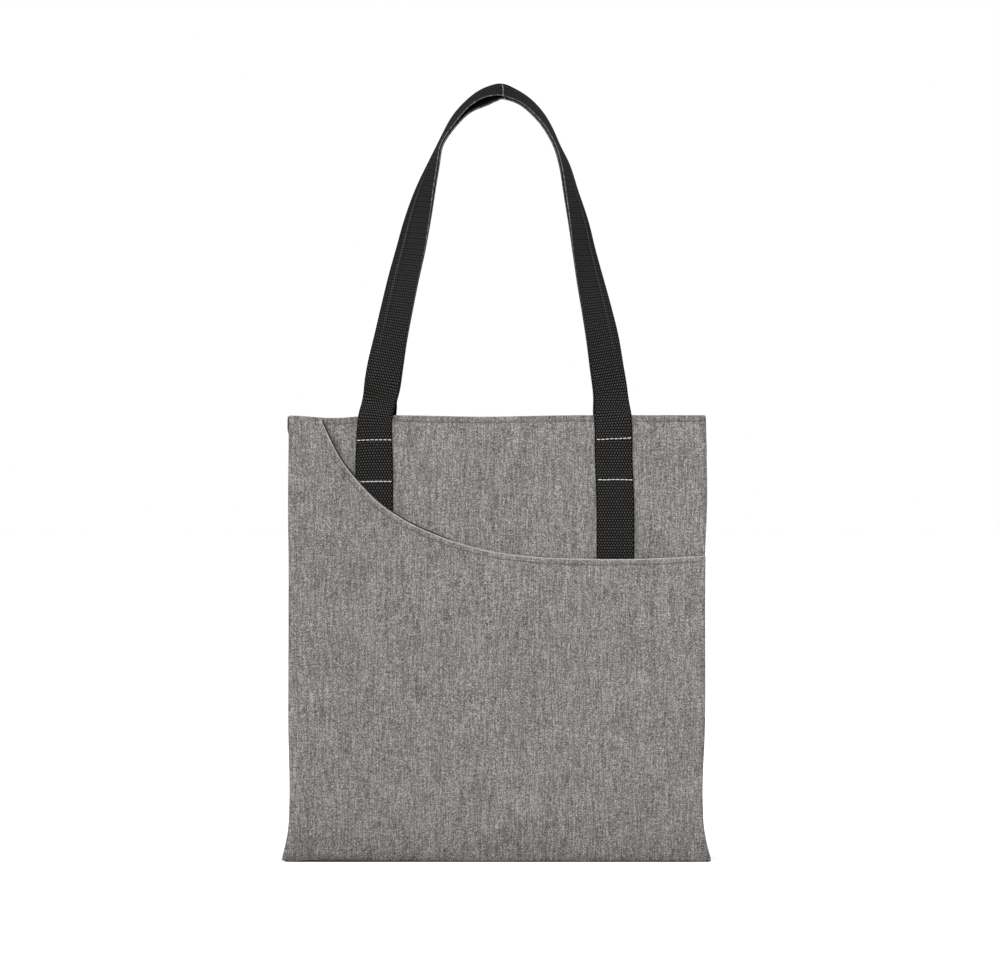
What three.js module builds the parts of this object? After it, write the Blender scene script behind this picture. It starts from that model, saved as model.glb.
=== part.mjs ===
// Fabric tote bag: boxed canvas body, slip pocket with a swooping edge and two webbing handles.
// Millimetres, +Z up, front facing -Y, origin on the floor under the middle of the base.
import * as THREE from 'three';

// ---- Driving dimensions -------------------------------------------------------------------
const width = 353;          // front and back panels, seam to seam
const height = 380;         // floor to hem
const depth = 76;           // gusset, seam to seam
const mouth = 36;           // outside of front panel to outside of back panel at the hem, at rest
const cornerFlare = 4;      // how far each bottom corner stands out past the side seam
const flareHeight = 42;     // the flare fades out at this height
const cloth = 1.2;          // canvas thickness
const gap = 0.3;            // air left between pieces that touch

const webWidth = 32;        // handle webbing, 1 1/4 inch
const webThick = 1.6;
const strapX = { left: -104.6, right: 101 };    // middle of each sewn strap on the front
const nesting = 3;          // the back handle runs this far inside the front one
const apexDrop = 2.5;       // and its top lies this much lower
const webLift = 1.0;        // the webbing lies over the hem's top-stitching

const hemDepth = 10;        // turned-in hem at the mouth
const hemStitchDrop = 4.8;  // hem edge to its row of top-stitching
const bindingWidth = 8;     // seam binding tape
const bindingThick = 1.4;
const threadWidth = 0.8;
const threadThick = 0.4;
const tackLength = 30;      // white rows that tack the webbing to the bag
const tackHeights = { upper: 359.4, lower: 324.5 };

const pocketStand = 8.2;    // slack pocket: how far its cloth stands off the front panel
const pocketFold = 10;      // turned-in hem along the pocket's mouth
const pocketStitchInset = 4.5;

const handleRise = 275;     // hem to the top of the front handle's centreline
const edgeOnHeight = 230;   // height above the hem at which the webbing has turned edge-on

// ---- Worked-out values --------------------------------------------------------------------
const halfDepth = depth / 2;
const leanRun = halfDepth - mouth / 2;              // the wall's lean, measured on the floor
const lean = Math.atan(leanRun / height);
const wallHeight = height / Math.cos(lean);         // hem height measured along the leaning wall
const firstHeight = cloth + gap;                    // walls start just above the base
const seamTop = firstHeight + cloth + gap;          // pieces that start above the bottom seam
const innerFace = -cloth - gap;                     // nearest layer behind a panel

// ---- Materials ----------------------------------------------------------------------------
function material(color, roughness) {
  return () => new THREE.MeshStandardMaterial({ color, roughness, metalness: 0 });
}
const canvas = material(0x85827f, 0.95);
const webbing = material(0x2a2a2c, 0.8);
const binding = material(0x1f1f21, 0.85);
const greyThread = material(0x6f6c69, 0.9);
const whiteThread = material(0xeeeeea, 0.9);

// ---- Geometry helpers ---------------------------------------------------------------------
// A closed solid through a row of sections, each a ring of points in the same order.
function loft(sections) {
  const ring = sections[0].length;
  const positions = sections.flat().flatMap((point) => point.toArray());
  const index = [];
  for (let s = 0; s + 1 < sections.length; s += 1) {
    for (let i = 0; i < ring; i += 1) {
      const a = s * ring + i;
      const b = s * ring + ((i + 1) % ring);
      index.push(a, b, b + ring, a, b + ring, a + ring);
    }
  }
  const last = (sections.length - 1) * ring;
  for (let i = 1; i + 1 < ring; i += 1) {
    index.push(0, i + 1, i);
    index.push(last, last + i, last + i + 1);
  }
  return closedGeometry(positions, index);
}

// Turns the faces of a closed solid outwards if they point inwards.
function closedGeometry(positions, index) {
  const geometry = new THREE.BufferGeometry();
  geometry.setAttribute('position', new THREE.Float32BufferAttribute(positions, 3));
  if (signedVolume(positions, index) < 0) {
    index.reverse();
  }
  geometry.setIndex(index);
  geometry.computeVertexNormals();
  return geometry;
}

function signedVolume(positions, index) {
  const corner = (i) => new THREE.Vector3().fromArray(positions, 3 * i);
  let sum = 0;
  for (let i = 0; i < index.length; i += 3) {
    sum += corner(index[i]).dot(corner(index[i + 1]).cross(corner(index[i + 2])));
  }
  return sum / 6;
}

// A flat piece of cloth in a wall's own frame: its outline in (across, up) and the distances
// from the panel's outer face at which the piece starts and ends. side is -1 front, +1 back.
function flatPiece(outline, from, to, side) {
  const shape = new THREE.Shape(outline.map(([across, up]) => new THREE.Vector2(across, up)));
  const geometry = new THREE.ExtrudeGeometry(shape, { depth: to - from, bevelEnabled: false });
  geometry.rotateX(Math.PI / 2);
  const outermost = side < 0 ? -from : to;
  return geometry.translate(0, outermost, 0);
}

function rectangle(left, right, low, high) {
  return [[left, low], [right, low], [right, high], [left, high]];
}

function mesh(name, geometry, paint) {
  const piece = new THREE.Mesh(geometry, paint());
  piece.name = name;
  return piece;
}

// ---- Outlines in the wall's frame -----------------------------------------------------------
// Half-width of a panel at a height: straight, with the bottom corners standing out a little.
function halfWidth(up) {
  const fade = Math.max(0, 1 - up / flareHeight);
  return width / 2 + cornerFlare * fade * fade;
}

// Heights at which a flared side edge gets a point, from low to high.
function edgeHeights(low, high) {
  const steps = 6;
  const flared = Array.from({ length: steps + 1 }, (_, i) => low + ((flareHeight - low) * i) / steps);
  return [...flared, high];
}

function panelOutline(low, high) {
  const heights = edgeHeights(low, high);
  const right = heights.map((up) => [halfWidth(up), up]);
  const left = heights.map((up) => [-halfWidth(up), up]).reverse();
  return [...right, ...left];
}

// The pocket's swooping mouth, from the hem at the left down to the right side seam.
const swoop = new THREE.CatmullRomCurve3([
  new THREE.Vector3(-150.2, wallHeight, 0),
  new THREE.Vector3(-144, 366.2, 0),
  new THREE.Vector3(-134, 345.6, 0),
  new THREE.Vector3(-121, 326.8, 0),
  new THREE.Vector3(-102.3, 306.6, 0),
  new THREE.Vector3(-81, 291.6, 0),
  new THREE.Vector3(-52.6, 278, 0),
  new THREE.Vector3(-14.4, 265.9, 0),
  new THREE.Vector3(28, 259.4, 0),
  new THREE.Vector3(75, 257.3, 0),
  new THREE.Vector3(125, 257.4, 0),
  new THREE.Vector3(width / 2, 260.1, 0),
], false, 'centripetal');

// Points along the swoop, shifted by a distance into the pocket's cloth.
function swoopPoints(inset, from = 0, to = 1, steps = 36) {
  return Array.from({ length: steps + 1 }, (_, i) => {
    const t = from + ((to - from) * i) / steps;
    const point = swoop.getPointAt(t);
    const tangent = swoop.getTangentAt(t);
    return [point.x + tangent.y * inset, point.y - tangent.x * inset];
  });
}

// ---- Front and back walls -------------------------------------------------------------------
function wall(side) {
  const end = side < 0 ? 'front' : 'back';
  const group = new THREE.Group();
  group.position.y = side * halfDepth;
  group.rotation.x = side * lean;
  group.add(...clothPieces(end, side));
  group.add(...strapPieces(end, side));
  if (side < 0) {
    group.add(...pocketPieces());
  }
  return group;
}

function clothPieces(end, side) {
  const behind = [innerFace - bindingThick, innerFace];
  const inner = halfWidth(wallHeight) - bindingWidth - gap;
  const stitchTop = wallHeight - hemStitchDrop + threadWidth / 2;
  const hem = rectangle(-inner, inner, wallHeight - hemDepth, wallHeight);
  const stitch = rectangle(-inner, inner, stitchTop - threadWidth, stitchTop);
  const bottom = rectangle(-inner, inner, firstHeight, firstHeight + bindingWidth);
  return [
    mesh(`${end}_panel`, flatPiece(panelOutline(firstHeight, wallHeight), -cloth, 0, side), canvas),
    mesh(`${end}_hem_facing`, flatPiece(hem, innerFace - cloth, innerFace, side), canvas),
    mesh(`${end}_hem_stitch`, flatPiece(stitch, gap, gap + threadThick, side), greyThread),
    mesh(`${end}_bottom_binding`, flatPiece(bottom, ...behind, side), binding),
    mesh(`${end}_left_binding`, flatPiece(bindingOutline(-1), ...behind, side), binding),
    mesh(`${end}_right_binding`, flatPiece(bindingOutline(1), ...behind, side), binding),
  ];
}

// Tape along a side seam; it shows as a thin dark line where it passes the panel's edge.
function bindingOutline(hand) {
  const peek = 0.7;
  const heights = edgeHeights(firstHeight, wallHeight);
  const outer = heights.map((up) => [hand * (halfWidth(up) + peek), up]);
  const inner = heights.map((up) => [hand * (halfWidth(up) - bindingWidth), up]).reverse();
  return [...outer, ...inner];
}

// The sewn-down legs of the webbing and the rows that tack them.
function strapPieces(end, side) {
  const top = webLift + webThick;
  return Object.entries(strapX).flatMap(([hand, frontX]) => {
    const x = side < 0 ? frontX : frontX - Math.sign(frontX) * nesting;
    const leg = rectangle(x - webWidth / 2, x + webWidth / 2, seamTop, wallHeight);
    const legMesh = mesh(`${end}_${hand}_strap_leg`, flatPiece(leg, webLift, top, side), webbing);
    const tacks = Object.entries(tackHeights).map(([level, z]) => {
      const up = z / Math.cos(lean);
      const row = rectangle(x - tackLength / 2, x + tackLength / 2, up - threadWidth, up + threadWidth);
      const thread = flatPiece(row, top + gap, top + gap + threadThick, side);
      return mesh(`${end}_${hand}_${level}_tack`, thread, whiteThread);
    });
    return [legMesh, ...tacks];
  });
}

function pocketPieces() {
  const side = -1;
  const low = seamTop;
  const sides = edgeHeights(low, wallHeight);
  const rightTop = swoopPoints(0).at(-1);
  const rightEdge = edgeHeights(low, rightTop[1]).slice(0, -1).map((up) => [halfWidth(up), up]);
  const leftEdge = sides.map((up) => [-halfWidth(up), up]);
  const panel = [...rightEdge, ...swoopPoints(0).reverse(), ...leftEdge.reverse()];
  const foldEnd = 0.975;
  const fold = [
    ...swoopPoints(0.4, 0.05, foldEnd),
    ...swoopPoints(pocketFold, 0.05, foldEnd).reverse(),
  ];
  const stitch = [
    ...swoopPoints(pocketStitchInset, 0.02, 0.99),
    ...swoopPoints(pocketStitchInset + threadWidth, 0.02, 0.99).reverse(),
  ];
  const outer = pocketStand + cloth;
  const between = [gap, pocketStand - gap];
  const bottom = rectangle(-halfWidth(low), halfWidth(low), firstHeight, firstHeight + cloth);
  return [
    mesh('pocket_panel', flatPiece(panel, pocketStand, outer, side), canvas),
    mesh('pocket_facing', flatPiece(fold, pocketStand - gap - 1, pocketStand - gap, side), canvas),
    mesh('pocket_edge_stitch', flatPiece(stitch, outer + gap, outer + gap + threadThick, side), greyThread),
    mesh('pocket_bottom_seam', flatPiece(bottom, ...between, side), canvas),
    mesh('pocket_left_seam', flatPiece(pocketSeam(-1, low, wallHeight), ...between, side), canvas),
    mesh('pocket_right_seam', flatPiece(pocketSeam(1, low, rightTop[1]), ...between, side), canvas),
  ];
}

// The turned edge that joins the slack pocket to the side seam.
function pocketSeam(hand, low, high) {
  const heights = edgeHeights(low, high);
  const outer = heights.map((up) => [hand * halfWidth(up), up]);
  const inner = heights.map((up) => [hand * (halfWidth(up) - cloth), up]).reverse();
  return [...outer, ...inner];
}

// ---- Base and side gussets ------------------------------------------------------------------
function base() {
  const outline = new THREE.Shape();
  const x = halfWidth(0);
  const r = 5;
  outline.moveTo(-x + r, -halfDepth);
  outline.lineTo(x - r, -halfDepth);
  outline.quadraticCurveTo(x, -halfDepth, x, -halfDepth + r);
  outline.lineTo(x, halfDepth - r);
  outline.quadraticCurveTo(x, halfDepth, x - r, halfDepth);
  outline.lineTo(-x + r, halfDepth);
  outline.quadraticCurveTo(-x, halfDepth, -x, halfDepth - r);
  outline.lineTo(-x, -halfDepth + r);
  outline.quadraticCurveTo(-x, -halfDepth, -x + r, -halfDepth);
  const options = { depth: cloth, bevelEnabled: false, curveSegments: 4 };
  return mesh('base_gusset', new THREE.ExtrudeGeometry(outline, options), canvas);
}

// Half of a side gusset, from the wall's seam to the crease at y = 0. The walls come together
// towards the mouth while the gusset keeps its width, so its crease moves into the bag.
function gussetHalf(hand, side) {
  const steps = 18;
  const seamInset = cloth + 2 * gap + bindingThick + gap;
  const sections = Array.from({ length: steps + 1 }, (_, i) => {
    const z = firstHeight + (height - firstHeight) * (i / steps) ** 1.6;
    const wallY = halfDepth - (leanRun * z) / height;
    const fold = Math.sqrt(halfDepth ** 2 - wallY ** 2);
    const shift = (cloth * halfDepth) / wallY;
    const seamX = halfWidth(z);
    const seamY = side * (wallY - seamInset);
    const creaseX = seamX - fold;
    const creaseY = side * gap / 2;
    return [
      new THREE.Vector3(hand * seamX, seamY, z),
      new THREE.Vector3(hand * creaseX, creaseY, z),
      new THREE.Vector3(hand * (creaseX - shift), creaseY, z),
      new THREE.Vector3(hand * (seamX - shift), seamY, z),
    ];
  });
  const name = `${hand < 0 ? 'left' : 'right'}_gusset_${side < 0 ? 'front' : 'rear'}`;
  return mesh(name, loft(sections), canvas);
}

// ---- Handles --------------------------------------------------------------------------------
// The left half of the arch: height above the hem, half-span, and the twist of the webbing in
// degrees (0 faces the front, 90 is edge-on to it).
const archRows = [
  [0, 102.8, 0],
  [30, 97, 13],
  [64, 90.5, 28],
  [140, 73.8, 45],
  [191, 62.1, 63],
  [217, 55, 76],
  [edgeOnHeight, 49.5, 86],
  [251, 36.5, 80],
  [265, 21, 70],
  [handleRise, 0, 64],
];

function archCurve(side) {
  const [inset, lowered] = side < 0 ? [0, 0] : [nesting, apexDrop];
  const hemY = side * (mouth / 2 + webLift + webThick / 2);
  const half = archRows.map(([rise, span, twist]) => {
    const drop = lowered * (rise / handleRise) ** 3;
    return { rise: rise - drop, span: Math.max(0, span - inset), twist };
  });
  const row = ({ rise, span, twist }, hand) => {
    const s = rise / handleRise;
    const closing = Math.min(1, rise / (edgeOnHeight + 10));
    const x = hand * span - 1.8 + 6.8 * s * s;
    const y = (hemY * (1 + Math.cos(Math.PI * closing))) / 2;
    return { point: new THREE.Vector3(x, y, height + gap + rise), twist };
  };
  const left = half.map((r) => row(r, -1));
  const right = half.slice(0, -1).reverse().map((r) => row(r, 1));
  const rows = [...left, ...right];
  const path = new THREE.CatmullRomCurve3(rows.map((r) => r.point), false, 'centripetal');
  const twist = new THREE.SplineCurve(rows.map((r) => new THREE.Vector2(r.twist, 0)));
  return { path, twist };
}

// A flat strap that runs along the arch and turns by the twist. Both ends are cut level, where
// they meet the sewn legs.
function handleStrap(side) {
  const { path, twist } = archCurve(side);
  const steps = 64;
  const sections = Array.from({ length: steps + 1 }, (_, i) => {
    const t = i / steps;
    const centre = path.getPoint(t);
    const atEnd = i === 0 || i === steps;
    const along = atEnd ? new THREE.Vector3(0, 0, i === 0 ? 1 : -1) : path.getTangent(t);
    const outward = new THREE.Vector3(-along.z, 0, along.x).normalize();
    const rearward = new THREE.Vector3().crossVectors(outward, along).normalize();
    const turn = THREE.MathUtils.degToRad(twist.getPoint(t).x);
    const across = outward.clone().multiplyScalar(-Math.cos(turn))
      .addScaledVector(rearward, -Math.sin(turn));
    const face = outward.clone().multiplyScalar(Math.sin(turn))
      .addScaledVector(rearward, -Math.cos(turn));
    const corner = (a, f) => centre.clone()
      .addScaledVector(across, (a * webWidth) / 2)
      .addScaledVector(face, (f * webThick) / 2);
    return [corner(-1, -1), corner(1, -1), corner(1, 1), corner(-1, 1)];
  });
  return mesh(`${side < 0 ? 'front' : 'back'}_handle_strap`, loft(sections), webbing);
}

// ---- Assembly -------------------------------------------------------------------------------
const bag = new THREE.Group();
bag.add(base());
for (const side of [-1, 1]) {
  bag.add(wall(side));
  bag.add(gussetHalf(-1, side), gussetHalf(1, side));
  bag.add(handleStrap(side));
}

export default bag;
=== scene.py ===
"""The looks of a canvas tote bag: woven cloth, webbing, folded hems, seams and single stitches.

Metres, +Z up, the front faces -Y. A wall's own coordinates are u across, v up the leaning wall
and w out from its outer face. side is -1 for the front wall and +1 for the back wall.
"""

import math

import bmesh
import bpy
import numpy as np
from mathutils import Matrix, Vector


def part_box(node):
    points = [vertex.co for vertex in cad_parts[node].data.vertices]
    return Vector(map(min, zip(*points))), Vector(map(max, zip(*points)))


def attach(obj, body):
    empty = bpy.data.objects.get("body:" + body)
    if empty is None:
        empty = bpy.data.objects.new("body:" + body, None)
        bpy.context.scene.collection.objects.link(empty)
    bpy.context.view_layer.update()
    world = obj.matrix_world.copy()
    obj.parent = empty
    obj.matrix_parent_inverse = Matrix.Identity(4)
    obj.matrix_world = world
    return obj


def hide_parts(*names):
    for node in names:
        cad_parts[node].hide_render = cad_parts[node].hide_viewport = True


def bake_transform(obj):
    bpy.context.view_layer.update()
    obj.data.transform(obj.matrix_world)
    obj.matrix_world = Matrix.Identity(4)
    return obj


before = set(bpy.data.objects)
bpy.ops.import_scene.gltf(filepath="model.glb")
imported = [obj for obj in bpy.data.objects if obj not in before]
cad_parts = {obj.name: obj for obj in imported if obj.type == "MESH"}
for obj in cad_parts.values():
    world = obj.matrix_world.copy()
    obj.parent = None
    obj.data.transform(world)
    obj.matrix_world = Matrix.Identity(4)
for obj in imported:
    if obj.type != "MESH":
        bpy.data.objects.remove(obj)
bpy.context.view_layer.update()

# ---- Driving dimensions ----
CAD_CLOTH = 0.0012       # canvas thickness of the CAD solids
CLOTH = 0.0010           # canvas thickness here
SEAM_RADIUS = 0.0025     # how round the sewn edges are
SEAM_PEEK = 0.0010       # black seam tape showing under the walls
HEM = 0.009              # turned-in hem at the mouth
HEM_STITCH = 0.0048      # hem edge to its top-stitching
FOLD_GAP = 0.0003        # air inside a folded hem
FLARE = 0.004            # the bottom corners stand out by this
FLARE_HEIGHT = 0.042
WEB_WIDTH = 0.032
WEB_THICK = 0.0015
WEB_LIFT = 0.0004        # air under the sewn webbing
LEG_FOOT = {-1: 0.0085, 1: 0.0036}     # where the sewn legs end above the bottom seam
POCKET_GAPE = 0.0016     # how far the slack pocket mouth stands off
POCKET_STITCH = 0.0045   # pocket's edge to its top-stitching
POCKET_ROWS = 24         # rows of the grid across the pocket's turned edge
THREAD = 0.00039         # radius of the white thread
TOP_THREAD = 0.00032     # radius of the matching thread
TOP_STITCH = 0.0036      # from one top-stitch to the next
SLACK = 0.006            # the most that the settled walls move in or out
BELLY = 0.0022           # how far each wall bows out at its middle, at the mouth
TAPE_THICK = 0.0007
QUARTER = SEAM_RADIUS * math.pi / 2     # cloth that it takes to go round a sewn edge

base_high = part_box("base_gusset")[1]
HALF_DEPTH = base_high.y
HALF_WIDTH = base_high.x - FLARE
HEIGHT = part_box("front_panel")[1].z
LEAN_RUN = HALF_DEPTH - (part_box("back_panel")[0].y + CAD_CLOTH)
LEAN = math.atan(LEAN_RUN / HEIGHT)
WALL = HEIGHT / math.cos(LEAN)                  # hem height measured up the leaning wall
END = {-1: "front", 1: "back"}
BODY = {-1: "front_wall", 1: "bag_back"}
LEG_X = {
    side: {hand: sum(corner.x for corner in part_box(f"{end}_{hand}_strap_leg")) / 2
           for hand in ("left", "right")}
    for side, end in END.items()
}


# ---- Small numeric helpers ----
def smooth(x):
    x = np.clip(x, 0.0, 1.0)
    return x * x * (3 - 2 * x)


def lerp_rows(x, rows):
    """Monotone, smooth interpolation through (x, y) rows."""
    xs, ys = (np.array(column, float) for column in zip(*rows))
    slope = np.gradient(ys, xs)
    i = np.clip(np.searchsorted(xs, x) - 1, 0, len(xs) - 2)
    h = xs[i + 1] - xs[i]
    t = np.clip((x - xs[i]) / h, 0, 1)
    a = (1 + 2 * t) * (1 - t) ** 2 * ys[i] + t * (1 - t) ** 2 * h * slope[i]
    b = t * t * (3 - 2 * t) * ys[i + 1] + t * t * (t - 1) * h * slope[i + 1]
    return a + b


def unit(v):
    return v / np.maximum(np.linalg.norm(v, axis=-1, keepdims=True), 1e-12)


def blur(field, times):
    for _ in range(times):
        p = np.pad(field, 1, mode="edge")
        field = (p[:-2, 1:-1] + p[2:, 1:-1] + p[1:-1, :-2] + p[1:-1, 2:] + 4 * field) / 8
    return field


def sample(field, x, y):
    """Bilinear value of a grid over the unit square at x, y."""
    rows, columns = field.shape
    fx = np.clip(x, 0, 1) * (rows - 1)
    fy = np.clip(y, 0, 1) * (columns - 1)
    i = np.minimum(fx.astype(int), rows - 2)
    j = np.minimum(fy.astype(int), columns - 2)
    a, b = fx - i, fy - j
    low = field[i, j] * (1 - a) + field[i + 1, j] * a
    high = field[i, j + 1] * (1 - a) + field[i + 1, j + 1] * a
    return low * (1 - b) + high * b


# ---- The bag's plain form ----
def half_width(z):
    """Half of a wall's width: a little wider at the mouth, a slight waist, and flared bottom
    corners with round tips."""
    z = np.asarray(z)
    mouth = 0.0004 + 0.0008 * smooth((z - 0.24) / 0.08)
    waist = 0.0019 * np.exp(-(((z - 0.060) / 0.040) ** 2))
    corner = 1.45 * FLARE * np.maximum(0, 1 - z / (0.85 * FLARE_HEIGHT)) ** 1.9
    tip = 0.0014 * np.maximum(0, 1 - z / 0.0026) ** 2
    return HALF_WIDTH + mouth - waist + corner - tip


def relaxed(points):
    """The whole bag's slight unevenness: the hem dips, the left end of the base lifts, the
    lower part leans a touch to the left and the right side stands out a little near the top.
    It fades out up the handles."""
    x, y, z = np.moveaxis(np.asarray(points, float), -1, 0)
    by_hem = smooth((z - HEIGHT + 0.09) / 0.08) * smooth((HEIGHT + 0.05 - z) / 0.05)
    dip = 0.0024 * np.exp(-(((x + 0.140) / 0.024) ** 2))
    dip = dip + 0.0014 * np.exp(-(((x + 0.010) / 0.05) ** 2))
    lift = 0.0008 * smooth(-(x - 0.02) / 0.2) * smooth(1 - z / 0.09) * smooth(-y / HALF_DEPTH)
    lean = 0.0007 * np.exp(-(((z - 0.05) / 0.06) ** 2))
    swell = 0.0017 * smooth((x - 0.12) / 0.055) * np.exp(-(((z - 0.315) / 0.05) ** 2))
    return np.stack([x - lean + swell, y, z - (0.0006 + dip) * by_hem + lift], -1)


def wall_depth(z):
    """How far a wall's outer face is from the middle plane at a height."""
    return HALF_DEPTH - LEAN_RUN * np.asarray(z) / HEIGHT


def on_plane(side, u, v, w):
    """A point of a flat leaning wall."""
    y = side * (HALF_DEPTH - v * math.sin(LEAN) + w * math.cos(LEAN))
    z = v * math.cos(LEAN) + w * math.sin(LEAN)
    return np.stack(np.broadcast_arrays(u, y, z), axis=-1)


def gusset_fold(z):
    """How far the gusset's crease lies inside the side seams at a height."""
    half = HALF_DEPTH - SEAM_RADIUS
    return np.sqrt(np.maximum(0, half**2 - (wall_depth(z) - SEAM_RADIUS) ** 2))


def gusset_plan(c, z):
    """Distance from the bag's middle and depth of a gusset point; c runs -1 front to +1 back."""
    rounding = 0.07
    full = math.sqrt(1 + rounding**2)
    share = (full - np.sqrt(c * c + rounding**2)) / (full - rounding)
    x = half_width(z) - gusset_fold(z) * share
    y = c * (wall_depth(z) - SEAM_RADIUS)
    return x, y


# ---- Cloth simulation ----
FRONT_CELLS = 44
GUSSET_CELLS = 8
UP_CELLS = 46


def shell_rest():
    """The bag's four sides as one tube of cloth, as a grid around and up."""
    v = np.linspace(0, WALL, UP_CELLS + 1)
    z = v * math.cos(LEAN)
    columns = []
    for side, way in ((-1, 1), (1, -1)):
        for share in np.linspace(-1, 1, FRONT_CELLS + 1)[:-1]:
            columns.append(on_plane(side, way * share * half_width(z), v, 0))
        for c in np.linspace(-1, 1, GUSSET_CELLS + 1)[:-1]:
            x, y = gusset_plan(way * c, z)
            columns.append(np.stack([way * x, y, z], axis=-1))
    return np.array(columns)


def simulate_shell(rest):
    """Lets the slack canvas settle under its own weight between its seams."""
    around, up = rest.shape[:2]
    index = np.arange(around * up).reshape(around, up)
    after = np.roll(index, -1, axis=0)
    faces = np.stack([index[:, :-1], after[:, :-1], after[:, 1:], index[:, 1:]], -1)
    mesh = bpy.data.meshes.new("shell")
    mesh.from_pydata(rest.reshape(-1, 3).tolist(), [], faces.reshape(-1, 4).tolist())
    shell = bpy.data.objects.new("shell", mesh)
    bpy.context.scene.collection.objects.link(shell)
    seams = np.cumsum([0, FRONT_CELLS, GUSSET_CELLS, FRONT_CELLS])
    held = shell.vertex_groups.new(name="held")
    for part in (index[:, 0], index[:, -1], index[seams].ravel()):
        held.add(part.tolist(), 1.0, "REPLACE")
    cloth = shell.modifiers.new("Cloth", "CLOTH")
    settings = cloth.settings
    settings.quality = 6
    settings.mass = 0.15
    settings.air_damping = 4
    settings.tension_stiffness = 30
    settings.compression_stiffness = 30
    settings.shear_stiffness = 12
    settings.bending_stiffness = 2
    settings.vertex_group_mass = "held"
    settings.shrink_min = -0.012
    cloth.collision_settings.use_self_collision = False
    cloth.point_cache.frame_start = 1
    cloth.point_cache.frame_end = 40
    scene = bpy.context.scene
    for step in range(1, 41):
        scene.frame_set(step)
    settled = shell.evaluated_get(bpy.context.evaluated_depsgraph_get()).to_mesh()
    points = np.zeros(len(settled.vertices) * 3)
    settled.vertices.foreach_get("co", points)
    scene.frame_set(1)
    bpy.data.objects.remove(shell)
    return points.reshape(rest.shape)


def wall_slack():
    """How far the settled cloth of each wall stands off its plane, over (across, up)."""
    rest = shell_rest()
    moved = simulate_shell(rest) - rest
    fields = {}
    for side, first in ((-1, 0), (1, FRONT_CELLS + GUSSET_CELLS)):
        rows = np.arange(first, first + FRONT_CELLS + 1) % len(rest)
        out = np.array([0, side * math.cos(LEAN), math.sin(LEAN)])
        field = blur(moved[rows] @ out, 3)
        up = np.linspace(0, 1, UP_CELLS + 1)
        field = SLACK * np.tanh(field / SLACK) * smooth(up / 0.22) * smooth((1 - up) / 0.12)
        fields[side] = field if side < 0 else field[::-1]
    return fields


slack = wall_slack()


def on_wall(side, u, v, w):
    """A point w outside the settled wall's outer face."""
    u, v, w = np.broadcast_arrays(u, v, w)
    z = v * math.cos(LEAN)
    across = (u / half_width(z) + 1) / 2
    belly = BELLY * np.sin(np.pi * np.clip(across, 0, 1)) * smooth(v / WALL)
    return on_plane(side, u, v, w + sample(slack[side], across, v / WALL) + belly)


def rolled_under(t):
    """How far a side's cloth has turned under at its bottom edge, and how high up it is, at a
    distance along it."""
    under = np.clip((QUARTER - t) / SEAM_RADIUS, 0, math.pi / 2)
    low = SEAM_RADIUS * (1 - np.sin(under))
    return under, np.where(t < QUARTER, low, t - QUARTER + SEAM_RADIUS)


def rounded(side, s, t, lift):
    """A point of a wall whose side and bottom edges roll round to their seams. s and t are
    distances along the cloth, from the middle and from the bottom seam; lift is outwards."""
    s, t, lift = np.broadcast_arrays(s, t, lift)
    under, v = rolled_under(t)
    v = v + SEAM_PEEK * smooth((SEAM_RADIUS * 3 - v) / (SEAM_RADIUS * 3))
    flat = half_width(v * math.cos(LEAN)) - SEAM_RADIUS
    turn = np.clip((abs(s) * (flat + QUARTER) - flat) / SEAM_RADIUS, 0, math.pi / 2)
    straight = np.minimum(abs(s) * (flat + QUARTER), flat)
    u = np.sign(s) * (straight + (SEAM_RADIUS + lift) * np.sin(turn))
    w = -SEAM_RADIUS * (1 - np.cos(turn)) - SEAM_RADIUS * (1 - np.cos(under))
    w = w + lift * np.cos(turn) * np.cos(under)
    return on_wall(side, u, v - lift * np.sin(under), w)


# ---- Mesh helpers ----
def new_mesh(name, points, faces, uv=None):
    mesh = bpy.data.meshes.new(name)
    mesh.from_pydata(relaxed(points).tolist(), [], [list(map(int, f)) for f in faces])
    mesh.validate()
    mesh.polygons.foreach_set("use_smooth", [True] * len(mesh.polygons))
    if uv is not None:
        layer = mesh.uv_layers.new(name="cloth")
        loops = np.zeros(len(mesh.loops), int)
        mesh.loops.foreach_get("vertex_index", loops)
        layer.data.foreach_set("uv", np.asarray(uv)[loops].astype(np.float32).ravel())
    piece = bpy.data.objects.new(name, mesh)
    bpy.context.scene.collection.objects.link(piece)
    return piece


def quads(rows, columns, closed=False):
    """Faces of a grid of points; closed joins its last column to its first."""
    across = columns if closed else columns - 1
    i, j = (a.ravel() for a in np.meshgrid(np.arange(rows - 1), np.arange(across), indexing="ij"))
    i2, j2 = i + 1, (j + 1) % columns
    return np.stack([i * columns + j, i2 * columns + j, i2 * columns + j2, i * columns + j2], -1)


def grid_normals(points):
    du = np.gradient(points, axis=0)
    dv = np.gradient(points, axis=1)
    return unit(np.cross(du, dv))


def rim_of(middle):
    """The places of a grid's rim points, in order round it, and the way from each one into the
    sheet."""
    rows, columns = middle.shape[:2]
    near = middle.copy()
    near[0], near[-1] = middle[1], middle[-2]
    near[:, 0], near[:, -1] = middle[:, 1], middle[:, -2]
    near[0, 0], near[0, -1] = middle[1, 1], middle[1, -2]
    near[-1, 0], near[-1, -1] = middle[-2, 1], middle[-2, -2]
    index = np.arange(rows * columns).reshape(rows, columns)
    rim = np.concatenate([index[:-1, 0], index[-1, :-1], index[:0:-1, -1], index[0, :0:-1]])
    return rim, unit(near.reshape(-1, 3)[rim] - middle.reshape(-1, 3)[rim])


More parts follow.
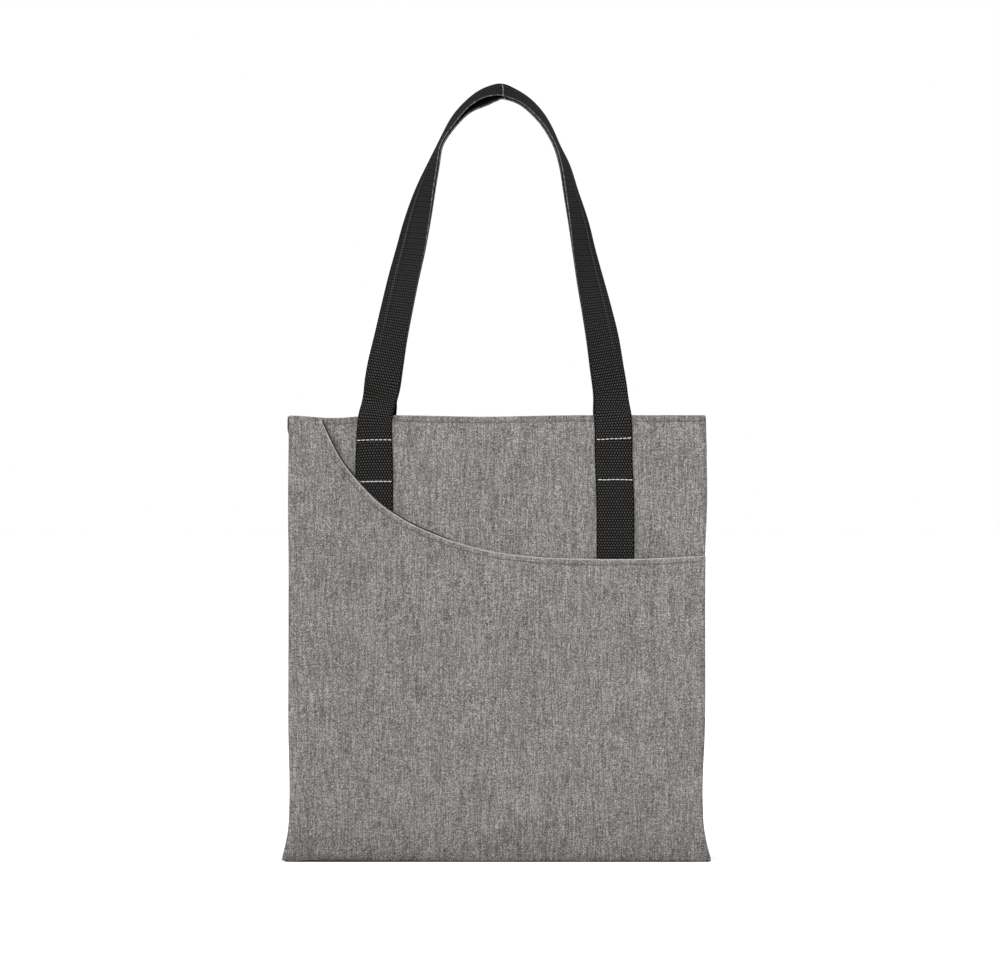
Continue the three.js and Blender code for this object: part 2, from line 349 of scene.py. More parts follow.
def face_outwards(piece):
    """Makes every face of a closed piece look out."""
    shape = bmesh.new()
    shape.from_mesh(piece.data)
    bmesh.ops.recalc_face_normals(shape, faces=shape.faces)
    shape.to_mesh(piece.data)
    shape.free()


def arc_length(points):
    steps = np.linalg.norm(np.diff(points, axis=0), axis=-1)
    return np.concatenate([[0], np.cumsum(steps)])


# ---- Materials ----
class Nodes:
    """A short way to write shader node trees."""

    def __init__(self, name):
        self.material = bpy.data.materials.new(name)
        self.material.use_nodes = True
        self.tree = self.material.node_tree
        self.shader = self.tree.nodes["Principled BSDF"]

    def add(self, kind, **settings):
        node = self.tree.nodes.new(kind)
        for key, value in settings.items():
            setattr(node, key, value)
        return node

    def link(self, source, target):
        if isinstance(source, (int, float)):
            target.default_value = source
        else:
            self.tree.links.new(source, target)

    def math(self, operation, *values):
        node = self.add("ShaderNodeMath", operation=operation)
        for value, socket in zip(values, node.inputs):
            self.link(value, socket)
        return node.outputs[0]

    def times(self, a, b):
        return self.math("MULTIPLY", a, b)

    def plus(self, a, b):
        return self.math("ADD", a, b)

    def minus(self, a, b):
        return self.math("SUBTRACT", a, b)

    def abs(self, value):
        return self.math("ABSOLUTE", value)

    def combine(self, x, y, z=0.0):
        node = self.add("ShaderNodeCombineXYZ")
        for value, socket in zip((x, y, z), node.inputs):
            self.link(value, socket)
        return node.outputs[0]

    def random(self, vector):
        """One value from 0 to 1 for each whole-number place."""
        node = self.add("ShaderNodeTexWhiteNoise", noise_dimensions="3D")
        self.link(vector, node.inputs["Vector"])
        return node.outputs["Value"]

    def noise(self, vector, scale, detail=2.0, rough=0.5):
        node = self.add("ShaderNodeTexNoise")
        node.inputs["Scale"].default_value = scale
        node.inputs["Detail"].default_value = detail
        node.inputs["Roughness"].default_value = rough
        self.link(vector, node.inputs["Vector"])
        return node.outputs["Fac"]

    def mix(self, factor, a, b):
        node = self.add("ShaderNodeMix", data_type="FLOAT")
        self.link(factor, node.inputs[0])
        self.link(a, node.inputs[2])
        self.link(b, node.inputs[3])
        return node.outputs[0]

    def ramp(self, factor, stops):
        node = self.add("ShaderNodeValToRGB")
        elements = node.color_ramp.elements
        while len(elements) < len(stops):
            elements.new(0.5)
        for element, (place, colour) in zip(elements, stops):
            element.position = place
            element.color = (*colour, 1)
        self.link(factor, node.inputs[0])
        return node.outputs[0]

    def bump(self, height, distance):
        node = self.add("ShaderNodeBump")
        node.inputs["Distance"].default_value = distance
        self.link(height, node.inputs["Height"])
        self.link(node.outputs["Normal"], self.shader.inputs["Normal"])

    def cloth_uv(self):
        node = self.add("ShaderNodeUVMap", uv_map="cloth")
        split = self.add("ShaderNodeSeparateXYZ")
        self.link(node.outputs["UV"], split.inputs[0])
        return split.outputs[0], split.outputs[1]

    def finish(self, colour, roughness, specular=0.2):
        self.link(colour, self.shader.inputs["Base Color"])
        self.link(roughness, self.shader.inputs["Roughness"])
        self.shader.inputs["Specular IOR Level"].default_value = specular
        return self.material


def heather_canvas(name):
    """Plain weave of mottled threads: each thread changes shade along its own length, and the
    upright threads show more than the level ones."""
    n = Nodes(name)
    u, v = n.cloth_uv()
    pitch = 0.00074
    across, along = n.math("DIVIDE", u, pitch), n.math("DIVIDE", v, pitch)
    warp, weft = n.math("FLOOR", across), n.math("FLOOR", along)

    def mottled(thread, distance, seed, length, share):
        start = n.times(n.random(n.combine(thread, seed)), 40.0)
        long_part = n.math("FLOOR", n.plus(n.math("DIVIDE", distance, length), start))
        short_part = n.math("FLOOR", n.plus(n.math("DIVIDE", distance, 0.0008), start))
        slow = n.random(n.combine(thread, long_part, seed + 1))
        quick = n.random(n.combine(thread, short_part, seed + 2))
        return n.plus(n.times(slow, share), n.times(quick, 1 - share))

    warp_shade = mottled(warp, v, 3.0, 0.012, 0.42)
    weft_shade = mottled(weft, u, 17.0, 0.006, 0.25)
    over = n.math("MODULO", n.abs(n.plus(warp, weft)), 2.0)
    share = n.plus(n.times(over, -0.7), 0.9)
    shade = n.mix(share, weft_shade, warp_shade)
    fibre = n.noise(n.combine(across, n.times(along, 0.35), 3.0), 2.4, 2.0, 0.8)
    broad = n.noise(n.combine(n.times(u, 55.0), n.times(v, 32.0)), 1.0, 3.0)
    # A per-point attribute of painted light: painted highlight along the pocket's fold, painted
    # shade on the hem, along the hem and pocket stitching and near the floor.
    mottle_and_painted_light = n.add("ShaderNodeAttribute", attribute_name="mottle_and_painted_light").outputs["Fac"]
    total = n.plus(n.times(shade, 0.76), n.times(fibre, 0.19))
    total = n.plus(total, n.times(broad, 0.15))
    total = n.plus(total, n.times(mottle_and_painted_light, 0.40))
    dark, middle, light = 0.034, 0.106, 0.27
    warm = lambda g: (g * 1.055, g * 1.0, g * 0.95)
    colour = n.ramp(total, [(0.25, warm(dark)), (0.55, warm(middle)), (0.85, warm(light))])
    hill_u = n.math("SINE", n.times(n.math("FRACT", across), math.pi))
    hill_v = n.math("SINE", n.times(n.math("FRACT", along), math.pi))
    long_u = n.plus(n.times(hill_u, 0.35), 0.65)
    long_v = n.plus(n.times(hill_v, 0.35), 0.65)
    height = n.mix(over, n.times(hill_u, long_v), n.times(hill_v, long_u))
    n.bump(n.plus(height, n.times(fibre, 0.5)), 0.00028)
    rough = n.plus(n.times(shade, 0.12), 0.85)
    return n.finish(colour, rough, specular=0.1)


def black_webbing(name):
    """Dense black webbing with staggered rows of raised, slightly shiny floats and a plain selvage
    along both edges. Painted highlights: light lines along both selvages, across the webbing where
    the handle was creased over at its top and along a lengthwise crease near the top; the front
    half near the top is painted lighter. Painted shade: the grooves near the top and the very top
    of the handle are painted darker."""
    n = Nodes(name)
    across, along = n.cloth_uv()
    dot_spacing, row_spacing = 0.00227, 0.00234
    column = n.math("DIVIDE", across, dot_spacing)
    row = n.math("DIVIDE", along, row_spacing)
    line = n.math("MODULO", n.abs(n.math("FLOOR", row)), 2.0)
    fx = n.math("FRACT", n.plus(column, n.times(line, 0.5)))
    fy = n.math("FRACT", row)
    dx = n.abs(n.minus(fx, 0.5))
    dy = n.abs(n.minus(fy, 0.5))
    wide = n.minus(1.0, n.math("POWER", n.times(dx, 2.8), 3.0))
    high = n.minus(1.0, n.math("POWER", n.times(dy, 2.3), 2.0))
    dot = n.times(n.math("MAXIMUM", wide, 0.0), n.math("MAXIMUM", high, 0.0))
    edge = n.minus(WEB_WIDTH / 2, n.abs(across))
    dot = n.times(dot, n.math("GREATER_THAN", edge, 0.0009))
    from_top = n.abs(along)
    woven = n.add("ShaderNodeMapRange", interpolation_type="SMOOTHSTEP")
    n.link(from_top, woven.inputs["Value"])
    woven.inputs["From Min"].default_value = 0.12
    woven.inputs["From Max"].default_value = 0.31
    woven.inputs["To Min"].default_value = 0.22
    dot = n.times(dot, woven.outputs["Result"])
    # Random mottle; it also scales the painted highlight lines.
    mottle_and_painted_light = n.noise(n.combine(n.times(across, 700.0), n.times(along, 300.0)), 1.0, 3.0)
    near_top = n.minus(1.0, woven.outputs["Result"])
    # Painted highlights: light lines along both selvages, across the crease at the top of the
    # handle and along a lengthwise crease near one edge.
    selvage = n.plus(0.45, n.times(near_top, 0.95))
    selvage = n.times(n.math("LESS_THAN", edge, 0.0004), selvage)
    slant = n.plus(n.times(across, 0.097), 0.0036)
    from_crease = n.abs(n.minus(along, slant))
    crease = n.times(n.math("LESS_THAN", from_crease, 0.0004), 1.5)
    lengthwise_crease_highlight = n.abs(n.plus(across, 0.0085))
    lengthwise_crease_highlight = n.times(n.math("LESS_THAN", lengthwise_crease_highlight, 0.0009), n.times(near_top, 0.8))
    painted_highlight_lines = n.plus(n.plus(selvage, crease), lengthwise_crease_highlight)
    light = n.times(dot, n.plus(0.35, n.times(mottle_and_painted_light, 0.7)))
    light = n.plus(light, n.times(painted_highlight_lines, mottle_and_painted_light))
    # Painted light: the front half of the webbing near the top is made a touch lighter than its
    # rear half.
    front_half = n.math("GREATER_THAN", across, -0.004)
    light = n.plus(light, n.times(n.times(near_top, front_half), 0.05))
    # Painted shade: rows of grooves near the top are darker.
    groove = n.math("POWER", n.abs(n.math("SINE", n.times(row, math.pi / 2))), 14.0)
    plain = n.minus(1.0, n.times(groove, 0.5))
    # Painted shade: the webbing's base tone is darkest right at the handle's top and lightens over
    # its first 5 cm.
    apex_shade_ramp = n.math("MINIMUM", n.math("MULTIPLY_ADD", from_top, 2.6, 0.07), 0.20)
    base = n.times(n.times(near_top, plain), apex_shade_ramp)
    light = n.plus(light, base)
    colour = n.ramp(light, [(0.0, (0.0010, 0.0010, 0.0010)), (0.3, (0.0120, 0.0117, 0.0115)),
                            (0.7, (0.038, 0.0365, 0.035)), (1.0, (0.11, 0.104, 0.096))])
    fine = n.math("SINE", n.times(along, 2 * math.pi / 0.0011))
    fine = n.times(fine, n.times(woven.outputs["Result"], 0.12))
    n.bump(n.plus(dot, fine), 0.00035)
    rough = n.minus(0.8, n.times(dot, 0.15))
    return n.finish(colour, rough, specular=0.02)


def black_tape(name):
    """Thin black binding with a fine cross rib."""
    n = Nodes(name)
    across, along = n.cloth_uv()
    rib = n.math("SINE", n.times(along, 2 * math.pi / 0.0007))
    shade = n.noise(n.combine(n.times(across, 1500.0), n.times(along, 500.0)), 1.0, 2.0)
    colour = n.ramp(shade, [(0.3, (0.004, 0.004, 0.004)), (0.7, (0.013, 0.0125, 0.012))])
    n.bump(rib, 0.00008)
    return n.finish(colour, 0.75)


def thread(name, dark, light, pitch):
    """Twisted sewing thread, painted darker in the grooves between its plies: painted shade. along
    is the thread's own length.
    """
    n = Nodes(name)
    around, along = n.cloth_uv()
    twist = n.plus(n.times(along, 2 * math.pi / pitch), n.times(around, 4 * math.pi))
    ply = n.math("SINE", twist)
    factor = n.plus(n.times(ply, 0.5), 0.5)
    colour = n.ramp(factor, [(0.0, dark), (0.6, light)])
    n.bump(ply, 0.00012)
    return n.finish(colour, 0.7, specular=0.15)


CANVAS = heather_canvas("heather_canvas")
WEBBING = black_webbing("black_webbing")
TAPE = black_tape("seam_binding")
WHITE = thread("white_thread", (0.30, 0.29, 0.28), (0.52, 0.51, 0.50), 0.0011)
GREY = thread("grey_thread", (0.05, 0.048, 0.046), (0.12, 0.115, 0.11), 0.0008)


def dress(piece, material):
    piece.data.materials.append(material)


# ---- Walls ----
def mouth_profile(length):
    """Rows up a wall: distance along the cloth, and lift, from the bottom seam up to the hem,
    over the fold and down inside. The stitch line pulls the cloth in a little."""
    top = length - SEAM_RADIUS + QUARTER
    r = (CLOTH + FOLD_GAP) / 2
    low = np.linspace(0, QUARTER, 5)[:-1]
    main = np.linspace(QUARTER, top - HEM - 0.004, 110)
    near = np.linspace(top - HEM - 0.003, top - r, 27)
    outside = np.concatenate([low, main, near])
    groove = 0.0003 * np.exp(-(((outside - top + HEM_STITCH) / 0.0007) ** 2))
    turn = np.linspace(0, math.pi, 9)[1:]
    fold_t = top - r + r * np.sin(turn)
    fold_lift = -r + r * np.cos(turn)
    inside = np.linspace(top - r, top - HEM, 8)[1:]
    t = np.concatenate([outside, fold_t, inside])
    lifts = np.concatenate([-groove, fold_lift, np.full(len(inside), -2 * r)])
    return t, lifts - CLOTH / 2


def painted_base_shade(v):
    """Painted shade: the cloth is a little darker near the floor."""
    return -0.14 * smooth((0.055 - v) / 0.050)


def painted_hem_shade(t, length):
    """Painted shade: the doubled hem is a little darker than the wall, most of all along its
    stitches, and the cloth darkens near the floor.
    """
    down = length - SEAM_RADIUS * (1 - math.pi / 2) - t
    stitches = np.exp(-(((down - HEM_STITCH) / 0.0006) ** 2))
    return painted_base_shade(t) - 0.12 * smooth((HEM_STITCH + 0.001 - down) / 0.0015) - 0.10 * stitches


def make_wall(side):
    t, lift = mouth_profile(WALL)
    across = np.linspace(-1, 1, 121)
    edge = np.sin(across * math.pi / 2) * 0.25 + across * 0.75
    s, tt = np.meshgrid(edge, t, indexing="ij")
    middle = rounded(side, s, tt, np.broadcast_to(lift, tt.shape))
    along = arc_length(np.stack([t, lift], -1))
    uv = np.stack(np.meshgrid(edge * HALF_WIDTH, along, indexing="ij"), -1) + [side * 0.7, 0.2]
    name = END[side]
    piece = shell_piece(f"{name}_canvas", middle, CLOTH, uv, painted_hem_shade(t, WALL)[None])
    dress(piece, CANVAS)
    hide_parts(f"{name}_panel", f"{name}_hem_facing")
    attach(piece, BODY[side])


def shell_piece(name, middle, thickness, uv, mottle_and_painted_light=None, normals=None):
    """A closed sheet of cloth or webbing, half its thickness each way from a grid of points, with
    rounded edges. The fifth argument is painted light: painted highlight where it is positive and
    painted shade where it is negative. normals are the ways across the sheet, if not the grid's
    own."""
    if normals is None:
        normals = grid_normals(middle)
    rows, columns = middle.shape[:2]
    count = rows * columns
    half = np.broadcast_to(np.asarray(thickness, float) / 2, (rows, columns))[..., None]
    outer, inner = middle + normals * half, middle - normals * half
    flat_uv = np.asarray(uv).reshape(-1, 2)
    faces = quads(rows, columns)
    rim, inward = rim_of(middle)
    after = np.roll(rim, -1)
    rim_points = middle.reshape(-1, 3)[rim] - inward * half.reshape(-1, 1)[rim] * 0.7
    points = np.concatenate([outer.reshape(-1, 3), inner.reshape(-1, 3), rim_points])
    ridge = 2 * count + np.arange(len(rim))
    ridge_after = np.roll(ridge, -1)
    rim_faces = np.concatenate([
        np.stack([rim, ridge, ridge_after, after], -1),
        np.stack([ridge, rim + count, after + count, ridge_after], -1),
    ])
    uvs = np.concatenate([flat_uv, flat_uv, flat_uv[rim]])
    piece = new_mesh(name, points, np.concatenate([faces, faces[:, ::-1] + count, rim_faces]), uvs)
    if mottle_and_painted_light is not None:
        flat_wear = np.broadcast_to(mottle_and_painted_light, (rows, columns)).ravel()
        values = np.concatenate([flat_wear, flat_wear, flat_wear[rim]])
        layer = piece.data.attributes.new("mottle_and_painted_light", "FLOAT", "POINT")
        layer.data.foreach_set("value", values.astype(np.float32))
    face_outwards(piece)
    return piece


# ---- Base and gussets ----
def make_base():
    reach_x = half_width(0) - SEAM_RADIUS * 0.4
    reach_y = HALF_DEPTH - SEAM_RADIUS * 0.4
    columns, rows = np.linspace(-reach_x, reach_x, 91), np.linspace(-reach_y, reach_y, 21)
    x, y = np.meshgrid(columns, rows, indexing="ij")
    corner = 0.004
    over_x = np.maximum(0, abs(x) - (reach_x - corner)) / corner
    over_y = np.maximum(0, abs(y) - (reach_y - corner)) / corner
    pull = np.maximum(1, np.hypot(over_x, over_y))
    x = np.where(over_x > 0, np.sign(x) * (reach_x - corner + over_x * corner / pull), x)
    y = np.where(over_y > 0, np.sign(y) * (reach_y - corner + over_y * corner / pull), y)
    rise = 0.0006 * (np.maximum(abs(x) / reach_x, abs(y) / reach_y)) ** 30
    z = CLOTH / 2 + rise + 0.0004 * np.sin(x * 41) * np.sin(y * 55) ** 2 * np.cos(y * 20)
    middle = np.stack([x, y, np.maximum(z, CLOTH / 2)], -1)
    uv = np.stack([x + 3.1, y + 2.3], -1)
    down = np.broadcast_to(np.array([0.0, 0.0, -1.0]), middle.shape)
    piece = shell_piece("base_canvas", middle, CLOTH, uv, normals=down)
    dress(piece, CANVAS)
    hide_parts("base_gusset")
    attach(piece, "bag_back")


def make_gusset(hand):
    """A side gusset from the front seam round the crease to the back seam, hemmed at the top."""
    name = "left" if hand < 0 else "right"
    t, lift = mouth_profile(HEIGHT)
    under, z = rolled_under(t)
    tuck = SEAM_RADIUS * (1 - np.cos(under))
    c = np.linspace(-1, 1, 41)
    c = np.sin(c * math.pi / 2) * 0.2 + c * 0.8
    cc, zz = np.meshgrid(c, z, indexing="ij")
    x, y = gusset_plan(cc, zz)
    slope = (wall_depth(zz) - SEAM_RADIUS) / (HALF_DEPTH - SEAM_RADIUS)
    wave = 0.0008 * np.sin(zz * 60 + hand) * np.sin(cc * 5 + zz * 17) * smooth(1 - abs(cc))
    x = x - tuck + lift / np.maximum(slope, 0.45) + wave
    middle = np.stack([hand * x, y, zz], -1)
    along = arc_length(np.stack([t, lift], -1))
    uv = np.stack(np.meshgrid(c * HALF_DEPTH, along, indexing="ij"), -1) + [1.7 + hand * 0.3, 1.1]
    piece = shell_piece(f"{name}_gusset_canvas", middle, CLOTH, uv, painted_hem_shade(t, HEIGHT)[None])
    dress(piece, CANVAS)
    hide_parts(f"{name}_gusset_front", f"{name}_gusset_rear")
    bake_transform(piece)


# ---- Pocket ----
# The pocket's edge, across and up the wall, from the hem at the left to the right side seam.
SWOOP = [
    (-0.1502, 0.3805), (-0.1440, 0.3662), (-0.1340, 0.3456), (-0.1210, 0.3268), (-0.1023, 0.3066),
    (-0.0810, 0.2916), (-0.0526, 0.2780), (-0.0144, 0.2659), (0.0280, 0.2594), (0.0750, 0.2573),
    (0.1250, 0.2574), (0.1765, 0.2601),
]


def swoop_height(u):
    return np.where(u < SWOOP[0][0], WALL, lerp_rows(u, SWOOP))


def pocket_lift(u, v, below):
    """How far the slack pocket's outer face stands off the wall, below its edge by a distance:
    over the webbing, down to its seams, and gaping a little at its mouth."""
    side = smooth((half_width(v) - abs(u)) / 0.016)
    bottom = smooth(v / 0.009)
    hem = smooth((WALL - v) / 0.020)
    middle = np.minimum(np.minimum(side, bottom), hem)
    straps = sum(smooth(1.9 - abs(u - x) / WEB_WIDTH) for x in LEG_X[-1].values())
    mouth = smooth((u - SWOOP[0][0]) / 0.05) * smooth((HALF_WIDTH - u) / 0.03)
    edge = mouth * np.exp(-((below / 0.022) ** 2))
    bulge = 0.0050 * np.exp(-(((u + 0.140) / 0.0105) ** 2) - (below / 0.022) ** 2)
    top_left = bulge * smooth((WALL - v) / 0.006)
    cover = 0.0008 * middle + 0.0012 * straps * middle
    sewn = 0.74 + 0.41 * side
    return sewn * CLOTH + cover + (0.0016 + POCKET_GAPE * straps * 0.6) * edge + top_left


def pocket_edge():
    """Along the hem and down the swoop: points, normals out of the pocket, and how far the
    turned-in fold has opened up, from 0 where the pocket is sewn to the hem to 1."""
    start, finish = SWOOP[0][0], SWOOP[-1][0]
    fine = np.linspace(start, finish, 1500)
    curve = np.stack([fine, swoop_height(fine)], -1)
    length = arc_length(curve)
    last = length[-1]
    at = np.concatenate([np.arange(0, 0.02, 0.0010), np.arange(0.02, last, 0.0026), [last]])
    swoop = np.stack([np.interp(at, length, curve[:, k]) for k in range(2)], -1)
    hem_u = np.linspace(-HALF_WIDTH, start, 24)[:-1]
    edge = np.concatenate([np.stack([hem_u, np.full(len(hem_u), WALL)], -1), swoop])
    along = arc_length(edge) - (start + HALF_WIDTH)
    tangent = unit(np.gradient(edge, axis=0))
    slope = np.arctan2(tangent[:, 1], tangent[:, 0])
    corner = np.argmin(abs(along)) + 1
    slope[:corner] = slope[corner] * smooth(1 + along[:corner] / 0.020)
    normal = np.stack([-np.sin(slope), np.cos(slope)], -1)
    seam = smooth((along[-1] - along) / 0.02)
    normal = unit(normal * seam[:, None] + np.array([0.0, 1.0]) * (1 - seam[:, None]))
    opened = smooth(along / 0.05) * (0.35 + 0.65 * seam)
    return edge, normal, np.maximum(opened, 0.02)


def make_pocket():
    edge, normal, opened = pocket_edge()
    r = (CLOTH + FOLD_GAP) / 2 * opened
    depth = 0.002 + HEM * opened
    inner = edge - normal * depth[:, None]
    rise = np.linspace(0, 1, 96)
    low = SEAM_RADIUS * 0.2
    share = inner[:, :1] / HALF_WIDTH
    v = low + (inner[:, 1:] - low) * rise[None]
    bow = rise[None] ** 3
    body = np.stack([share * half_width(v) * (1 - bow) + inner[:, :1] * bow, v], -1)
    steps = np.linspace(1, 0, POCKET_ROWS + 1)[1:]
    inset = r[:, None] + (depth - r)[:, None] * steps[None]
    angle = np.linspace(0, math.pi, 9)[1:]
    round_inset = r[:, None] * (1 - np.sin(angle))[None]
    back_inset = r[:, None] + (HEM * opened)[:, None] * np.linspace(0, 1, 7)[None, 1:]
    inset = np.concatenate([inset, round_inset, back_inset], axis=1)
    from_stitch = inset - POCKET_STITCH
    groove = 0.0004 * np.exp(-((from_stitch[:, :POCKET_ROWS] / 0.0007) ** 2)) * opened[:, None]
    behind = np.concatenate([-groove, -r[:, None] * (1 - np.cos(angle))[None],
                             np.repeat(-2 * r[:, None], 6, axis=1)], axis=1)
    band = edge[:, None] - normal[:, None] * inset[..., None]
    grid = np.concatenate([body, band], axis=1)
    u, v = grid[..., 0], grid[..., 1]
    below = np.concatenate([depth[:, None] + (1 - rise[None]) * 0.26, inset], axis=1)
    lift = pocket_lift(u, v, below) - CLOTH / 2
    lift[:, len(rise):] += behind
    flat = half_width(v) - SEAM_RADIUS
    limit = np.clip(abs(u), 0, half_width(v))
    turn = np.clip(limit - flat, 0, SEAM_RADIUS) / SEAM_RADIUS
    s = np.sign(u) * np.where(limit < flat, limit, flat + turn * QUARTER) / (flat + QUARTER)
    t = np.where(v < SEAM_RADIUS, QUARTER * v / SEAM_RADIUS, v - SEAM_RADIUS + QUARTER)
    middle = rounded(-1, s, t, lift)
    thickness = np.full(u.shape, CLOTH)
    thickness[:, len(rise) + POCKET_ROWS:] *= np.clip(opened, 0.1, 1)[:, None]
    uv = np.stack([u + 5.3, v + 0.4], -1)
    uv[:, len(rise) + POCKET_ROWS:, 1] += 0.37
    # Painted highlight along the pocket's turned fold and painted shade along its top-stitching.
    fold = 0.9 * np.exp(-((inset / 0.00055) ** 2)) * np.clip(opened * 4, 0, 1)[:, None]
    fold -= 0.16 * np.exp(-((from_stitch / 0.0006) ** 2)) * np.clip(opened * 3, 0, 1)[:, None]
    mottle_and_painted_light = np.concatenate([painted_base_shade(body[..., 1]), fold], axis=1)
    piece = shell_piece("pocket_canvas", middle, thickness, uv, mottle_and_painted_light)
    dress(piece, CANVAS)
    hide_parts("pocket_panel", "pocket_facing", "pocket_bottom_seam", "pocket_left_seam",
                "pocket_right_seam")
    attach(piece, "front_wall")


def make_pocket_shadow_strip():
    """Painted shadow: a thin strip in the black tape material on the back of the pocket's turned
    edge, peeking out over half of the swoop where the raised edge shades the wall.
    """
    u = np.linspace(SWOOP[0][0], -0.005, 200)
    edge = np.stack([u, swoop_height(u)], -1)
    along = arc_length(edge)
    tangent = unit(np.gradient(edge, axis=0))
    outwards = np.stack([-tangent[:, 1], tangent[:, 0]], -1)
    showing = 0.0013 * smooth((along - 0.002) / 0.004) + 0.0006 * smooth(along / 0.05)
    showing = (showing + 0.0006) * smooth((along[-1] - along) / 0.050) - 0.0006
    q = np.linspace(0, 1, 7)
    offset = -0.005 + (0.005 - 0.0004 + showing)[:, None] * q[None]
    place = edge[:, None] + outwards[:, None] * offset[..., None]
    standing = pocket_lift(u, edge[:, 1], np.zeros(len(u)))
    depth = np.maximum(standing - 2 * CLOTH - FOLD_GAP - 0.0004, 0.0006)
    middle = on_wall(-1, place[..., 0], place[..., 1], depth[:, None])
    tape_piece("pocket_shadow_strip", -1, middle, 0.0006, 0.006 * q[None], along[:, None])


# ---- Webbing ----
# The front handle from its left tack over the top and down to its right one: across from the
# bag's middle, height above the mouth, and degrees that the webbing is turned from facing front.
LEFT_RISE = [
    (-0.1046, -0.021, 0), (-0.1040, -0.004, 0), (-0.1034, 0.002, 4), (-0.1020, 0.007, 17),
    (-0.1008, 0.012, 27), (-0.0996, 0.018, 23), (-0.0982, 0.025, 17), (-0.0962, 0.038, 18),
    (-0.0913, 0.064, 28), (-0.0861, 0.089, 32),
    (-0.0804, 0.115, 35), (-0.0743, 0.140, 39), (-0.0687, 0.166, 47), (-0.0626, 0.191, 60),
    (-0.0545, 0.217, 76), (-0.0503, 0.230, 84), (-0.0427, 0.244, 82), (-0.0372, 0.2525, 79),
    (-0.0252, 0.2665, 78), (-0.0120, 0.2755, 74), (0.0036, 0.2795, 68),
]
RIGHT_FALL = [
    (0.0036, 0.2795, 68), (0.0235, 0.2700, 74), (0.0345, 0.2600, 76), (0.0416, 0.2510, 79),
    (0.0463, 0.2430, 81), (0.0525, 0.230, 83), (0.0578, 0.217, 78), (0.0643, 0.191, 70),
    (0.0702, 0.166, 60), (0.0748, 0.140, 52), (0.0799, 0.115, 44), (0.0856, 0.089, 37),
    (0.0905, 0.064, 30), (0.0943, 0.038, 26), (0.0964, 0.025, 24), (0.0976, 0.013, 21),
    (0.0981, 0.007, 14), (0.0985, 0.002, 4), (0.0990, -0.005, 0), (0.0994, -0.021, 0),
]
MEETING = 0.235          # height above the mouth where the two handles come together
NEST = 0.0019            # from the front handle's middle to the back one's, lying on each other


def path_half(rows, step=0.002):
    rows = np.array(rows)
    length = arc_length(rows[:, :2])
    at = np.linspace(0, length[-1], int(length[-1] / step))
    return np.stack([lerp_rows(at, list(zip(length, rows[:, k]))) for k in range(3)], -1)


def soften(values, times):
    kernel = np.array([1, 4, 6, 4, 1]) / 16
    for _ in range(times):
        padded = np.pad(values, ((2, 2), (0, 0)), mode="edge")
        columns = [np.convolve(padded[:, k], kernel, "valid") for k in range(values.shape[1])]
        values = np.concatenate([values[:1], np.stack(columns, -1)[1:-1], values[-1:]])
    return values


def handle_frames(centres, turn):
    """Directions across the webbing, towards the loop's inside, and out of its face."""
    along = unit(np.gradient(centres, axis=0))
    outward = unit(np.stack([-along[:, 2], np.zeros(len(along)), along[:, 0]], -1))
    rearward = unit(np.cross(outward, along))
    turn = np.radians(turn)[:, None]
    across = -outward * np.cos(turn) - rearward * np.sin(turn)
    face = outward * np.sin(turn) - rearward * np.cos(turn)
    return across, face


def handle_centres(side):
    """The middle line of a handle above its tacks, and its directions across the webbing."""
    path = soften(np.concatenate([path_half(LEFT_RISE), path_half(RIGHT_FALL)[1:]]), 2)
    x, rise, turn = path.T
    lift = WEB_LIFT + WEB_THICK / 2
    mouth = on_wall(-1, x, np.full(len(x), WALL), lift)
    on_cloth = on_wall(-1, x, np.minimum(HEIGHT + rise, HEIGHT) / math.cos(LEAN), lift)
    closing = 0.5 * (1 + np.cos(np.pi * np.clip(rise / MEETING, 0, 1)))
    over_hem = smooth(rise / 0.006) * smooth((0.085 - rise) / 0.070)
    tuck = WEB_WIDTH / 2 * np.sin(np.radians(turn)) * over_hem
    y = np.where(rise < 0, on_cloth[:, 1], mouth[:, 1] * closing) + tuck
    centres = soften(np.stack([x, y, HEIGHT + rise], -1), 1)
    across, face = handle_frames(centres, turn)
    if side < 0:
        return centres, across
    low = smooth(1 - rise / 0.02)
    lying = smooth((rise - 0.12) / 0.07)
    droop = 10 * np.exp(-(((x + 0.014) / 0.016) ** 2)) * (rise > 0.2)
    rear_edge = centres * [1, -1, 1] - across * WEB_WIDTH / 2
    rear_edge[:, 0] += 0.0022 * low * (x < 0)
    rear_edge -= face * (NEST * lying)[:, None]
    own_across, _ = handle_frames(centres, turn - droop)
    return rear_edge + own_across * WEB_WIDTH / 2, own_across


def cupped(rise, x):
    """Half the width of the webbing, which cups a little where the left strap leaves the bag."""
    near_hem = smooth((rise + 0.045) / 0.045) * smooth((0.015 - rise) / 0.012)
    return WEB_WIDTH / 2 * (1 - 0.085 * near_hem * (x < 0))


